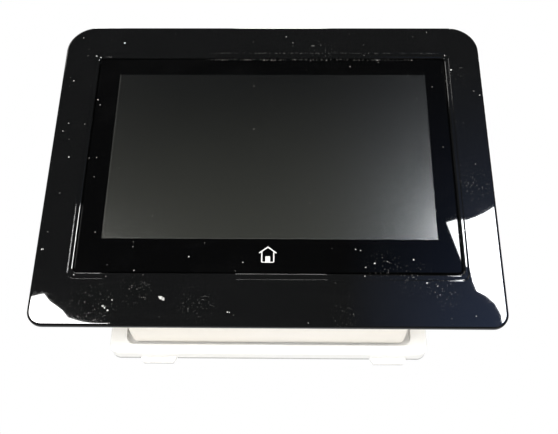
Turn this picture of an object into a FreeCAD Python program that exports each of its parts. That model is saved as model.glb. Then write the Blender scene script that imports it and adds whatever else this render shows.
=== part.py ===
import FreeCAD, Part

import math
import os

# Alarm keypad panel: a touch-screen panel that hooks onto a shallow wall plate.
# Millimetres. +Z is up, +X is to the right of a person who faces the screen, and
# the screen looks along -Y. The plate's back lies on the wall at y = 0, and the
# origin is the middle of that back.
# Pieces are placed by their depth behind the front face: at(depth) gives the y.

# ---- driving dimensions ----
PANEL_WIDTH = 209.6
PANEL_HEIGHT = 163.0
TOTAL_DEPTH = 37.0
PLATE_WIDTH = 146.7
PLATE_HEIGHT = 118.0
PANEL_ABOVE_PLATE = 2.5
PANEL_TOP_RADIUS = 14.5
PANEL_BOTTOM_RADIUS = 7.0

# display and cover lens
DISPLAY_WIDTH = 152.4
DISPLAY_HEIGHT = 91.44
DISPLAY_BELOW_TOP = 29.5
LENS_WIDTH = 173.7
LENS_BELOW_TOP = 19.55
LENS_ABOVE_BOTTOM = 25.6
LENS_RADIUS = 2.0
LENS_RECESS = 0.6
LENS_THICKNESS = 1.8
LENS_EDGE_RADIUS = 0.55
TAPE_THICKNESS = 0.2

# bezel
BEZEL_THICKNESS = 2.2
BEZEL_EDGE_RADIUS = 0.7
REBATE_WIDTH = 178.5
REBATE_BELOW_TOP = 16.3
REBATE_ABOVE_BOTTOM = 22.2
REBATE_DEPTH = 0.35
REBATE_RADIUS = 3.2
WELL_EDGE_RADIUS = 0.8
LENS_GAP = 0.35
SEAT_DEPTH = LENS_RECESS + LENS_THICKNESS + TAPE_THICKNESS
SEAT_WIDTH = 4.0
BEZEL_RIM_DEPTH = 4.2
BEZEL_RIM_WIDTH = 3.5
BEZEL_BOSS_R = 3.2
BEZEL_BOSS_DEPTH = 5.0
LOCATOR_DEPTH = 4.5
LOCATOR_GAP = 0.3
LOCATOR_WALL = 1.2

# printed home key
ICON_HALF_ROOF = 4.05
ICON_HALF_WALL = 2.95
ICON_HALF_HEIGHT = 4.0
ICON_EAVES = 0.9
ICON_LINE = 0.5
ICON_DOOR = (1.05, 3.05)
ICON_BELOW_DISPLAY = 7.55
INK = 0.05

# screen stack
SENSOR_THICKNESS = 0.4
GLASS_BACK_DEPTH = 4.8
BACKLIGHT_BACK_DEPTH = 7.9
BRACKET_BACK_DEPTH = 8.4
BRACKET_SHEET = (-86.0, 86.0, -22.0, 84.0)
BRACKET_WINDOWS = ((-70.0, -8.0), (4.0, 70.0))
BRACKET_STEEL = 0.6
BRACKET_FOOT_END = 91.0
BRACKET_FOOT_HALF = 4.0

# rear housing: a wide shallow tray behind the screen, and a deeper box below it
WALL = 2.0
TRAY_INSET_SIDE = 6.5
TRAY_INSET_END = 4.6
TRAY_SLOPE_START = 6.0
TRAY_BACK_DEPTH = 10.5
TRAY_SLOPE = 2.5
TRAY_TOP_RADIUS = 10.0
TRAY_BOTTOM_RADIUS = 5.0
HOUSING_WIDTH = 126.8
HOUSING_ABOVE_PANEL_BOTTOM = 3.1
HOUSING_HEIGHT = 102.4
HOUSING_RADIUS = 3.5
HOUSING_BACK_DEPTH = 30.0
HOUSING_BACK_TAPER = 0.6
REAR_WALL = 2.2
HOUSING_BOSS_R = 3.4
COUNTERBORE_R = 3.0
COUNTERBORE_DEPTH = 9.0
BATTERY_FENCES = ((-38.0, -36.6), (36.6, 38.0))
BATTERY_FENCE_TOP = -13.0
TERMINAL_ACCESS = (-24.0, 24.0, 9.0, 26.0)
VENT_WIDTH = 2.0
VENT_LENGTH = 11.0
VENT_PITCH = 10.0
VENT_ROWS = (64.0, 80.0)
SPEAKER_SLOTS = 5
SPEAKER_SLOT_PITCH = 6.0
SPEAKER_SLOT_BOTTOM = -38.0

# wall plate
PLATE_RADIUS = 4.5
PLATE_FRONT_DEPTH = 29.0
PLATE_SKIN = 2.0
PLATE_RIM_SIDE = 7.55
PLATE_RIM_BOTTOM = 4.2
INNER_SKIRT = 1.6
FLOOR_FRONT = -5.0
FLOOR_BACK = -3.0
POCKET_RADIUS = 4.0
WIRE_OPENING = (-30.0, 30.0, 4.0, 34.0)
WALL_SCREW_X = 36.0
WALL_SCREW_Z = 30.0
GANG_SCREW_Z = 41.65
SCREW_HOLE_R = 2.2
BOSS_R = 4.6

# pivot pins and the hooks that carry them
PIVOT_X = 38.0
PIVOT_Y = -8.5
PIVOT_Z = 43.5
PIN_R = 1.5
PIN_LENGTH = 14.0
HOOK_WIDTH = 8.0
HOOK_SEAT_R = 1.6
HOOK_OUTER_R = 3.3
PIN_POCKET = (37.0, 47.8)
PIN_POCKET_WIDTH = 10.0
PIN_BLOCK_BOTTOM = 35.5

# release latches
LATCH_RIGHT_X = 55.5
LATCH_LEFT_X = -51.0
LATCH_HALF = 9.5
LATCH_FRONT = -2.6
LATCH_BACK = -0.6
LATCH_BOTTOM = -56.9
LATCH_TOP = -38.0
LATCH_TRAVEL = 2.2
TAB_ROOT_HALF = 8.2
TAB_TIP_HALF = 6.8
TAB_TIP_Z = -61.9
NOSE_HALF = 3.0
NOSE_TOP = -45.0
NOSE_BOTTOM = -47.0
NOSE_TIP_Y = -11.6
CATCH_Y = -9.45
CATCH_DROP = 1.8
SPRING_STOP_Z = -26.0
LATCH_SPRING_R = 1.2
LATCH_SPRING_BORE_R = 0.8
LATCH_SLOT_HALF = 4.0
RAIL_GAP = 0.3
RAIL_WALL = 1.5
RAIL_LIP = 1.0

# tamper switch
TAMPER_X = 44.0
TAMPER_Z = 14.0
TAMPER_TRAVEL = 2.0
PLUNGER_R = 1.7
PLUNGER_TIP_Y = -0.3
FLANGE_THICKNESS = 0.8
FLANGE_R = 2.9
SWITCH_BACK_Y = -15.4
SWITCH_HALF = 5.0
TAMPER_SPRING = (2.7, 2.1)

# electronics
BOARD = (-57.0, 57.0, -8.0, 45.0)
BOARD_FRONT = -20.0
BOARD_BACK = -18.4
TERMINAL_BODY = (-21.0, 21.0, 11.5, 23.0)
TERMINAL_BACK_Y = -9.6
TERMINAL_WAYS = 6
TERMINAL_PITCH = 6.5
WIRE_ENTRY = (3.4, 12.8, 15.8)
TERMINAL_SCREW_Z = 19.6
TERMINAL_WELL_R = 1.9
SOUNDER_X = 42.0
SOUNDER_Z = 14.0
SOUNDER_R = 11.0
SOUNDER_HEIGHT = 3.5
RIBBON = (8.0, 26.0)
RIBBON_THICKNESS = 0.3
RIBBON_FRONT_Y = -29.05
CELL_R = 9.2
CELL_HALF_LENGTH = 33.0
CELL_Y = -18.6
CELL_ZS = (-40.4, -21.9)
SPEAKER_Y = (-26.0, -14.5)
SPEAKER_Z = (-41.0, -10.0)
SPEAKER_DRIVER_DEPTH = 4.0
SPEAKER_BOX_DEPTH = 9.3
GASKET_THICKNESS = 1.2

# screws: head radius, head height, shank radius
HOUSING_SCREW = (2.7, 1.3, 1.45)
BRACKET_SCREW = (2.2, 1.1, 1.0)
BOARD_SCREW = (2.4, 1.3, 1.0)
TERMINAL_SCREW = (1.75, 1.2, 1.0)
PILOT_R = 1.05
BOARD_POSTS = [(x, z) for x in (-52.0, 52.0) for z in (-3.0, 40.0)]
HOUSING_SCREWS = [(x, z) for x in (-90.0, 90.0) for z in (-43.0, 25.0, 93.0)]
BRACKET_SCREWS = [(x, z) for x in (-88.6, 88.6) for z in (5.0, 62.0)]
BUMPERS = [(x, z) for x in (-58.0, 58.0) for z in (-12.0, 24.0)]
WALL_SCREWS = [(x, z) for x in (-WALL_SCREW_X, WALL_SCREW_X) for z in (-WALL_SCREW_Z, WALL_SCREW_Z)]
GANG_SCREWS = [(0.0, -GANG_SCREW_Z), (0.0, GANG_SCREW_Z)]
LATCH_XS = (LATCH_LEFT_X, LATCH_RIGHT_X)
TERMINAL_XS = [TERMINAL_PITCH * (i - (TERMINAL_WAYS - 1) / 2) for i in range(TERMINAL_WAYS)]
VENT_XS = [VENT_PITCH * i for i in range(-7, 8)]

# ---- places worked out from them ----
FRONT = -TOTAL_DEPTH
PLATE_BOTTOM = -PLATE_HEIGHT / 2
PANEL_BOTTOM = PLATE_BOTTOM + PANEL_ABOVE_PLATE
PANEL_TOP = PANEL_BOTTOM + PANEL_HEIGHT
DISPLAY_TOP = PANEL_TOP - DISPLAY_BELOW_TOP
DISPLAY_BOTTOM = DISPLAY_TOP - DISPLAY_HEIGHT
HOUSING_BOTTOM = PANEL_BOTTOM + HOUSING_ABOVE_PANEL_BOTTOM
HOUSING_TOP = HOUSING_BOTTOM + HOUSING_HEIGHT
FLANGE_BACK_Y = FRONT + HOUSING_BACK_DEPTH - REAR_WALL - TAMPER_TRAVEL - 0.2
FLANGE_FRONT_Y = FLANGE_BACK_Y - FLANGE_THICKNESS


def at(depth):
    """The y of a plane this far behind the front face."""
    return FRONT + depth


def upright(width, z0, z1):
    """A rectangle seen from the front, centred left to right."""
    return (-width / 2, width / 2, z0, z1)


PANEL = upright(PANEL_WIDTH, PANEL_BOTTOM, PANEL_TOP)
REBATE = upright(REBATE_WIDTH, PANEL_BOTTOM + REBATE_ABOVE_BOTTOM, PANEL_TOP - REBATE_BELOW_TOP)
LENS = upright(LENS_WIDTH, PANEL_BOTTOM + LENS_ABOVE_BOTTOM, PANEL_TOP - LENS_BELOW_TOP)
TRAY = upright(
    PANEL_WIDTH - 2 * TRAY_INSET_SIDE, PANEL_BOTTOM + TRAY_INSET_END, PANEL_TOP - TRAY_INSET_END
)
HOUSING = upright(HOUSING_WIDTH, HOUSING_BOTTOM, HOUSING_TOP)
PLATE = upright(PLATE_WIDTH, PLATE_BOTTOM, -PLATE_BOTTOM)
POCKET = upright(
    PLATE_WIDTH - 2 * PLATE_RIM_SIDE, PLATE_BOTTOM + PLATE_RIM_BOTTOM, -PLATE_BOTTOM - PLATE_RIM_SIDE
)
SCREEN_MODULE = upright(DISPLAY_WIDTH + 12.6, DISPLAY_BOTTOM - 5.4, DISPLAY_TOP + 3.2)


# ---- shape helpers ----
def grown(rect, amount):
    """The rectangle with each side moved out by amount."""
    return (rect[0] - amount, rect[1] + amount, rect[2] - amount, rect[3] + amount)


def box(x0, x1, y0, y1, z0, z1):
    return Part.makeBox(x1 - x0, y1 - y0, z1 - z0, FreeCAD.Vector(x0, y0, z0))


def slab(rect, y0, y1):
    """A square-cornered block over a front-view rectangle."""
    return box(rect[0], rect[1], y0, y1, rect[2], rect[3])


def rounded_wire(rect, y, bottom_r, top_r):
    """A rounded rectangle in the plane y, with one radius below and one above."""
    x0, x1, z0, z1 = rect
    corners = [
        (x1 - bottom_r, z0 + bottom_r, bottom_r, -90),
        (x1 - top_r, z1 - top_r, top_r, 0),
        (x0 + top_r, z1 - top_r, top_r, 90),
        (x0 + bottom_r, z0 + bottom_r, bottom_r, 180),
    ]
    arcs = []
    for x, z, r, start in corners:
        angles = [math.radians(start + step) for step in (0, 45, 90)]
        arcs.append([FreeCAD.Vector(x + r * math.cos(a), y, z + r * math.sin(a)) for a in angles])
    edges = []
    for i, arc in enumerate(arcs):
        edges.append(Part.Arc(*arc).toShape())
        edges.append(Part.makeLine(arc[2], arcs[(i + 1) % 4][0]))
    return Part.Wire(edges)


def prism(rect, y0, y1, bottom_r, top_r=None):
    """A rounded rectangle carried straight back from y0 to y1."""
    wire = rounded_wire(rect, y0, bottom_r, bottom_r if top_r is None else top_r)
    return Part.Face(wire).extrude(FreeCAD.Vector(0, y1 - y0, 0))


def taper(rect_a, y_a, radii_a, rect_b, y_b, radii_b):
    """A solid between two rounded rectangles; radii are (bottom, top)."""
    wires = [rounded_wire(rect_a, y_a, *radii_a), rounded_wire(rect_b, y_b, *radii_b)]
    return Part.makeLoft(wires, True, True)


def rod_y(x, z, r, y0, y1):
    return Part.makeCylinder(r, y1 - y0, FreeCAD.Vector(x, y0, z), FreeCAD.Vector(0, 1, 0))


def rod_x(x0, x1, y, z, r):
    return Part.makeCylinder(r, x1 - x0, FreeCAD.Vector(x0, y, z), FreeCAD.Vector(1, 0, 0))


def rod_z(x, y, z0, z1, r):
    return Part.makeCylinder(r, z1 - z0, FreeCAD.Vector(x, y, z0), FreeCAD.Vector(0, 0, 1))


def ring(outer, inner):
    return outer.cut(inner)


def extruded(points, direction):
    """A flat polygon of (x, y, z) corners, carried along direction."""
    corners = [FreeCAD.Vector(*p) for p in points]
    face = Part.Face(Part.makePolygon(corners + corners[:1]))
    return face.extrude(FreeCAD.Vector(*direction))


def joined(solids):
    """One body out of several that touch or overlap."""
    first, rest = solids[0], solids[1:]
    return first.fuse(rest).removeSplitter() if rest else first


def front_edges(shape, y):
    """The edges that lie in the plane y."""
    return [e for e in shape.Edges if all(abs(v.Point.y - y) < 1e-6 for v in e.Vertexes)]


def inside(edge, rect):
    """Whether an edge lies within a front-view rectangle."""
    x0, x1, z0, z1 = grown(rect, 0.01)
    return all(x0 < v.Point.x < x1 and z0 < v.Point.z < z1 for v in edge.Vertexes)


def screw(x, z, kind, seat_y, tip_y):
    """A cross-head screw along Y: its head stands on seat_y and its shank runs to tip_y."""
    head_r, head, shank_r = kind
    way = 1 if seat_y > tip_y else -1
    top = seat_y + way * head
    body = rod_y(x, z, head_r, *sorted((seat_y, top)))
    body = body.fuse(rod_y(x, z, shank_r, *sorted((seat_y, tip_y))))
    low, high = sorted((top - way * 0.45 * head, top + way * 0.1))
    arm, half = 0.6 * head_r, 0.12 * head_r
    cross = box(x - arm, x + arm, low, high, z - half, z + half)
    cross = cross.fuse(box(x - half, x + half, low, high, z - arm, z + arm))
    return body.cut(cross)


def save(name, solids):
    """One node: a single solid, or a group of separate ones."""
    shape = solids[0] if len(solids) == 1 else Part.makeCompound(solids)
    shape.exportStep("parts/" + name + ".step")


# ---- front of the panel ----
def locator_block(inset):
    """A block inside the tray's outline, as deep as the ridge that locates the housing."""
    radii = (TRAY_BOTTOM_RADIUS - inset, TRAY_TOP_RADIUS - inset)
    return prism(grown(TRAY, -inset), at(BEZEL_THICKNESS), at(LOCATOR_DEPTH), *radii)


def front_bezel():
    """Glossy picture frame: a thin plate with a rebate, a rounded well and a seat for the lens."""
    plate = prism(PANEL, FRONT, at(BEZEL_THICKNESS), PANEL_BOTTOM_RADIUS, PANEL_TOP_RADIUS)
    plate = plate.makeFillet(BEZEL_EDGE_RADIUS, front_edges(plate, FRONT))
    well = grown(LENS, LENS_GAP)
    rim_r = LENS_RADIUS + BEZEL_RIM_WIDTH
    rim = prism(grown(well, BEZEL_RIM_WIDTH), at(BEZEL_THICKNESS), at(BEZEL_RIM_DEPTH), rim_r)
    locator = ring(locator_block(WALL + LOCATOR_GAP), locator_block(WALL + LOCATOR_GAP + LOCATOR_WALL))
    boss_end = at(BEZEL_BOSS_DEPTH)
    bosses = [rod_y(x, z, BEZEL_BOSS_R, at(BEZEL_THICKNESS), boss_end) for x, z in HOUSING_SCREWS]
    body = joined([plate, rim, locator] + bosses)
    body = body.cut(prism(REBATE, at(-1), at(REBATE_DEPTH), REBATE_RADIUS))
    body = body.cut(prism(well, at(-1), at(SEAT_DEPTH), LENS_RADIUS))
    mouth = [e for e in front_edges(body, at(REBATE_DEPTH)) if inside(e, well)]
    body = body.makeFillet(WELL_EDGE_RADIUS, mouth)
    body = body.cut(prism(grown(LENS, -SEAT_WIDTH), at(-1), at(6), LENS_RADIUS))
    holes = [rod_y(x, z, 1.5, at(2.8), boss_end + 0.1) for x, z in HOUSING_SCREWS]
    holes += [rod_y(x, z, PILOT_R, at(2.9), boss_end) for x, z in BRACKET_SCREWS]
    return body.cut(holes)


def cover_lens():
    lens = prism(LENS, at(LENS_RECESS), at(LENS_RECESS + LENS_THICKNESS), LENS_RADIUS)
    return lens.makeFillet(LENS_EDGE_RADIUS, front_edges(lens, at(LENS_RECESS)))


def home_icon():
    """House-shaped key mark printed on the lens: roof, walls and a solid door."""
    centre_z = DISPLAY_BOTTOM - ICON_BELOW_DISPLAY
    y0, y1 = at(LENS_RECESS - INK), at(LENS_RECESS)
    eaves, ridge, sill = centre_z + ICON_EAVES, centre_z + ICON_HALF_HEIGHT, centre_z - ICON_HALF_HEIGHT
    roof = extruded(
        [
            (-ICON_HALF_ROOF, y0, eaves),
            (0, y0, ridge),
            (ICON_HALF_ROOF, y0, eaves),
            (ICON_HALF_ROOF - 0.6 * ICON_LINE, y0, eaves - 0.8 * ICON_LINE),
            (0, y0, ridge - 1.4 * ICON_LINE),
            (-ICON_HALF_ROOF + 0.6 * ICON_LINE, y0, eaves - 0.8 * ICON_LINE),
        ],
        (0, INK, 0),
    )
    walls = prism(upright(2 * ICON_HALF_WALL, sill, eaves + 0.9), y0, y1, 0.7, 0.2)
    room = upright(2 * (ICON_HALF_WALL - ICON_LINE), sill + 0.8 * ICON_LINE, ridge)
    walls = walls.cut(slab(room, y0 - 1, y1 + 1))
    half_door, door_height = ICON_DOOR
    door = slab(upright(2 * half_door, sill, sill + door_height), y0, y1)
    return joined([roof, walls, door])


def lens_tape():
    y0, y1 = at(LENS_RECESS + LENS_THICKNESS), at(SEAT_DEPTH)
    return ring(prism(grown(LENS, -0.4), y0, y1, 1.6), prism(grown(LENS, -3.6), y0, y1, 1.0))


def touch_sensor():
    y0 = at(LENS_RECESS + LENS_THICKNESS)
    return prism(grown(LENS, -SEAT_WIDTH - 0.3), y0, y0 + SENSOR_THICKNESS, LENS_RADIUS)


def screen_pieces():
    """Display glass, its metal backlight tray, and the steel bracket that holds them."""
    glass_front = at(LENS_RECESS + LENS_THICKNESS + SENSOR_THICKNESS)
    glass = slab(SCREEN_MODULE, glass_front, at(GLASS_BACK_DEPTH))
    tray = prism(grown(SCREEN_MODULE, 0.3), at(GLASS_BACK_DEPTH), at(BACKLIGHT_BACK_DEPTH), 1.0)
    sheet = prism(BRACKET_SHEET, at(BACKLIGHT_BACK_DEPTH), at(BRACKET_BACK_DEPTH), 2.0)
    for x0, x1 in BRACKET_WINDOWS:
        sheet = sheet.cut(slab((x0, x1, 3.0, 60.0), at(7), at(9)))
    feet = []
    leg_start = BRACKET_SHEET[1] - BRACKET_STEEL
    foot_y = sorted((at(BEZEL_RIM_DEPTH), at(BEZEL_RIM_DEPTH + BRACKET_STEEL)))
    for x, z in BRACKET_SCREWS:
        side = 1 if x > 0 else -1
        leg = sorted((side * leg_start, side * BRACKET_SHEET[1]))
        foot = sorted((side * leg_start, side * BRACKET_FOOT_END))
        z0, z1 = z - BRACKET_FOOT_HALF, z + BRACKET_FOOT_HALF
        feet.append(box(*leg, at(BEZEL_RIM_DEPTH), at(BRACKET_BACK_DEPTH), z0, z1))
        feet.append(box(*foot, *foot_y, z0, z1))
    bracket = joined([sheet] + feet)
    bracket = bracket.cut([rod_y(x, z, 1.2, at(4), at(5)) for x, z in BRACKET_SCREWS])
    return glass, tray, bracket


# ---- rear housing ----
def rear_housing():
    """White moulding: shallow tray behind the screen, deep box, pin pockets and openings."""
    tray_in = grown(TRAY, -TRAY_SLOPE)
    tray_r = (TRAY_BOTTOM_RADIUS, TRAY_TOP_RADIUS)
    back_r = (TRAY_BOTTOM_RADIUS - 2, TRAY_TOP_RADIUS - 2)
    taper_start = at(HOUSING_BACK_DEPTH - HOUSING_BACK_TAPER)
    outer = joined(
        [
            prism(TRAY, at(BEZEL_THICKNESS), at(TRAY_SLOPE_START), *tray_r),
            taper(TRAY, at(TRAY_SLOPE_START), tray_r, tray_in, at(TRAY_BACK_DEPTH), back_r),
            prism(HOUSING, at(TRAY_SLOPE_START), taper_start, HOUSING_RADIUS),
            taper(
                HOUSING,
                taper_start,
                (HOUSING_RADIUS,) * 2,
                grown(HOUSING, -HOUSING_BACK_TAPER),
                at(HOUSING_BACK_DEPTH),
                (HOUSING_RADIUS - HOUSING_BACK_TAPER,) * 2,
            ),
        ]
    )
    inner_r = (TRAY_BOTTOM_RADIUS - WALL, TRAY_TOP_RADIUS - WALL)
    inner_back_r = (1.4, TRAY_TOP_RADIUS - 2 - WALL)
    tray_cavity = joined(
        [
            prism(grown(TRAY, -WALL), at(0), at(TRAY_SLOPE_START), *inner_r),
            taper(
                grown(TRAY, -WALL),
                at(TRAY_SLOPE_START),
                inner_r,
                grown(tray_in, -WALL + 1.2),
                at(TRAY_BACK_DEPTH - WALL),
                inner_back_r,
            ),
        ]
    )
    box_cavity = prism(
        grown(HOUSING, -WALL), at(8), at(HOUSING_BACK_DEPTH - REAR_WALL), HOUSING_RADIUS - WALL
    )
    shell = outer.cut([tray_cavity, box_cavity])

    rear_face = at(HOUSING_BACK_DEPTH)
    inner_face = at(HOUSING_BACK_DEPTH - REAR_WALL)
    boss_y = (at(BEZEL_BOSS_DEPTH), at(TRAY_BACK_DEPTH - WALL + 0.5))
    posts = [rod_y(x, z, HOUSING_BOSS_R, *boss_y) for x, z in HOUSING_SCREWS]
    posts += [rod_y(x, z, 3.0, BOARD_BACK, inner_face + 0.5) for x, z in BOARD_POSTS]
    for x0, x1 in BATTERY_FENCES:
        posts.append(box(x0, x1, -22.0, inner_face + 0.5, HOUSING_BOTTOM + 1.5, BATTERY_FENCE_TOP))
    half_block = PIN_LENGTH / 2 + 0.5
    for x in (-PIVOT_X, PIVOT_X):
        posts.append(box(x - half_block, x + half_block, -15.5, rear_face, PIN_BLOCK_BOTTOM, HOUSING_TOP))
    shell = joined([shell] + posts)

    through = (inner_face - 0.1, rear_face + 0.1)
    cuts = []
    for x, z in HOUSING_SCREWS:
        cuts.append(rod_y(x, z, 1.6, at(4.9), at(11)))
        cuts.append(rod_y(x, z, COUNTERBORE_R, at(COUNTERBORE_DEPTH), at(11)))
    cuts += [rod_y(x, z, PILOT_R, BOARD_BACK - 0.1, -12.0) for x, z in BOARD_POSTS]
    half_pocket, half_pin = PIN_POCKET_WIDTH / 2, PIN_LENGTH / 2 + 0.1
    for x in (-PIVOT_X, PIVOT_X):
        cuts.append(box(x - half_pocket, x + half_pocket, -14.0, rear_face + 0.1, *PIN_POCKET))
        cuts.append(rod_x(x - half_pin, x + half_pin, PIVOT_Y, PIVOT_Z, PIN_R + 0.05))
    slot_z = (NOSE_BOTTOM - 0.3, NOSE_TOP + LATCH_TRAVEL + 0.4)
    for x in LATCH_XS:
        cuts.append(box(x - LATCH_SLOT_HALF, x + LATCH_SLOT_HALF, *through, *slot_z))
    cuts.append(slab(TERMINAL_ACCESS, *through))
    cuts.append(rod_y(TAMPER_X, TAMPER_Z, PLUNGER_R + 0.4, *through))
    side_x = (-HOUSING_WIDTH / 2 - 0.1, -HOUSING_WIDTH / 2 + WALL + 0.1)
    for i in range(SPEAKER_SLOTS):
        z = SPEAKER_SLOT_BOTTOM + SPEAKER_SLOT_PITCH * i
        cuts.append(box(*side_x, -25, -15, z, z + 2))
    for x in VENT_XS:
        for z in VENT_ROWS:
            cuts.append(slab((x - VENT_WIDTH / 2, x + VENT_WIDTH / 2, z, z + VENT_LENGTH), at(8), at(11)))
    return shell.cut(cuts)


def housing_screws():
    seat = at(COUNTERBORE_DEPTH)
    return [screw(x, z, HOUSING_SCREW, seat, at(2.9)) for x, z in HOUSING_SCREWS]


# ---- electronics ----
def main_board():
    board = prism(BOARD, BOARD_FRONT, BOARD_BACK, 2.0)
    return board.cut([rod_y(x, z, 1.3, BOARD_FRONT - 1, BOARD_BACK + 1) for x, z in BOARD_POSTS])


def processor_shield():
    can = slab((-40.0, -8.0, 6.0, 38.0), BOARD_FRONT - 2.6, BOARD_FRONT)
    return can.cut(slab((-39.7, -8.3, 6.3, 37.7), BOARD_FRONT - 2.3, BOARD_FRONT + 1))


def board_chips():
    """Packages on both faces of the board: (rectangle, height), front face then rear face."""
    front = [
        ((-54.0, -44.0, 8.0, 18.0), 1.2),
        ((-2.0, 6.0, 10.0, 16.0), 1.0),
        ((10.0, 24.0, 24.0, 36.0), 1.4),
    ]
    rear = [
        ((-26.0, -12.0, -4.0, 6.0), 1.2),
        ((0.0, 9.0, -3.0, 6.0), 1.2),
        ((22.0, 30.0, -2.0, 4.0), 1.8),
    ]
    chips = [slab(rect, BOARD_FRONT - high, BOARD_FRONT) for rect, high in front]
    chips += [slab(rect, BOARD_BACK, BOARD_BACK + high) for rect, high in rear]
    return chips


def terminal_block():
    """Six-way terminal block that faces the wall: a wire hole and a screw hole for each way."""
    body = slab(TERMINAL_BODY, BOARD_BACK, TERMINAL_BACK_Y)
    width, z0, z1 = WIRE_ENTRY
    open_end = TERMINAL_BACK_Y + 0.1
    cuts = []
    for x in TERMINAL_XS:
        cuts.append(box(x - width / 2, x + width / 2, -14.5, open_end, z0, z1))
        cuts.append(rod_y(x, TERMINAL_SCREW_Z, TERMINAL_WELL_R, -13.0, open_end))
    return body.cut(cuts)


def terminal_screws():
    return [screw(x, TERMINAL_SCREW_Z, TERMINAL_SCREW, -11.8, -12.9) for x in TERMINAL_XS]


def radio_module():
    plate = slab((-56.0, -42.0, 14.0, 34.0), BOARD_BACK, BOARD_BACK + 0.8)
    return plate.fuse(slab((-55.0, -43.0, 15.0, 27.5), BOARD_BACK + 0.8, BOARD_BACK + 2.4)).removeSplitter()


def radio_antenna():
    return box(-26, 26, -27.0, -17.0, HOUSING_TOP - WALL - 0.4, HOUSING_TOP - WALL - 0.1)


def display_ribbon():
    """Flat cable from the board's connector, forward to the back of the screen."""
    x0, x1 = RIBBON
    root_y, turn_z = BOARD_FRONT - 1, 9.0
    run = box(x0, x1, root_y - RIBBON_THICKNESS, root_y, 0.0, turn_z)
    step = box(x0, x1, RIBBON_FRONT_Y, root_y, turn_z, turn_z + RIBBON_THICKNESS)
    tail = box(x0, x1, RIBBON_FRONT_Y, RIBBON_FRONT_Y + RIBBON_THICKNESS, turn_z + RIBBON_THICKNESS, 22.0)
    return joined([run, step, tail])


def ribbon_connector():
    return box(RIBBON[0] - 2, RIBBON[1] + 2, BOARD_FRONT - 2.3, BOARD_FRONT, -5.0, 0.0)


def piezo_sounder():
    """Round sounder with a small hole in the middle of its front."""
    front = BOARD_FRONT - SOUNDER_HEIGHT
    disc = rod_y(SOUNDER_X, SOUNDER_Z, SOUNDER_R, front, BOARD_FRONT)
    return disc.cut(rod_y(SOUNDER_X, SOUNDER_Z, 1.2, front - 0.5, front + 2))


def tamper_switch():
    x, z = TAMPER_X, TAMPER_Z
    body = box(x - SWITCH_HALF, x + SWITCH_HALF, BOARD_BACK, SWITCH_BACK_Y, z - SWITCH_HALF, z + SWITCH_HALF)
    return body.cut(rod_y(x, z, PLUNGER_R + 0.1, BOARD_BACK + 0.2, SWITCH_BACK_Y + 1))


def tamper_plunger():
    """Sprung pin that passes through the plate and rests on the wall."""
    stem = rod_y(TAMPER_X, TAMPER_Z, PLUNGER_R, -17.8, PLUNGER_TIP_Y)
    stem = stem.makeChamfer(0.5, front_edges(stem, PLUNGER_TIP_Y))
    return joined([stem, rod_y(TAMPER_X, TAMPER_Z, FLANGE_R, FLANGE_FRONT_Y, FLANGE_BACK_Y)])


def tamper_spring():
    y0, y1 = SWITCH_BACK_Y + 0.05, FLANGE_FRONT_Y - 0.05
    outer_r, inner_r = TAMPER_SPRING
    bore = rod_y(TAMPER_X, TAMPER_Z, inner_r, y0 - 1, y1 + 1)
    return ring(rod_y(TAMPER_X, TAMPER_Z, outer_r, y0, y1), bore)


def backup_battery():
    """Two round cells side by side in one sleeve."""
    x0, x1 = -CELL_HALF_LENGTH, CELL_HALF_LENGTH
    cells = [rod_x(x0, x1, CELL_Y, z, CELL_R) for z in CELL_ZS]
    web = box(x0, x1, CELL_Y - CELL_R + 0.01, CELL_Y + CELL_R - 0.01, *CELL_ZS)
    return joined(cells + [web])


def battery_pad():
    return box(-28, 28, at(BRACKET_BACK_DEPTH) + 0.05, CELL_Y - CELL_R - 0.05, -42, -20)


def battery_plug():
    return box(-10, -2, BOARD_FRONT - 4.5, BOARD_FRONT, -7.2, -2.0)


def battery_lead():
    return [rod_z(x, -22.4, -12.95, -7.25, 0.8) for x in (-7.6, -4.4)]


def speaker_pieces():
    """Side-facing speaker: foam ring against the slots, driver, and its closed back box."""
    x0 = -HOUSING_WIDTH / 2 + WALL
    x1 = x0 + GASKET_THICKNESS
    x2 = x1 + SPEAKER_DRIVER_DEPTH
    (y0, y1), (z0, z1) = SPEAKER_Y, SPEAKER_Z
    gasket = ring(box(x0 + 0.05, x1, y0, y1, z0, z1), box(x0, x1 + 1, y0 + 1, y1 - 1, z0 + 1, z1 - 1))
    driver = box(x1, x2, y0, y1, z0, z1)
    driver = driver.cut(box(x0, x1 + 1.2, y0 + 1.5, y1 - 1.5, z0 + 1.5, z1 - 1.5))
    back = box(x2, x2 + SPEAKER_BOX_DEPTH, y0, y1, z0, z1)
    return gasket, driver, back


def pivot_pins():
    half = PIN_LENGTH / 2
    return [rod_x(x - half, x + half, PIVOT_Y, PIVOT_Z, PIN_R) for x in (-PIVOT_X, PIVOT_X)]


# ---- wall plate and its latches ----
def hook(x):
    """Upward-open hook that carries one pivot pin."""
    x0, x1 = x - HOOK_WIDTH / 2, x + HOOK_WIDTH / 2
    cup = rod_x(x0, x1, PIVOT_Y, PIVOT_Z, HOOK_OUTER_R)
    cup = cup.cut(box(x0 - 1, x1 + 1, PIVOT_Y - 5, PIVOT_Y + 5, PIVOT_Z, PIVOT_Z + 5))
    rear = box(x0, x1, PIVOT_Y + HOOK_SEAT_R, FLOOR_FRONT + 0.5, PIVOT_Z - HOOK_OUTER_R, PIVOT_Z + 3)
    lip = box(x0, x1, PIVOT_Y - HOOK_OUTER_R, PIVOT_Y - HOOK_SEAT_R, PIVOT_Z, PIVOT_Z + 2)
    body = joined([cup, rear, lip])
    return body.cut(rod_x(x0 - 1, x1 + 1, PIVOT_Y, PIVOT_Z, HOOK_SEAT_R))


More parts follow.
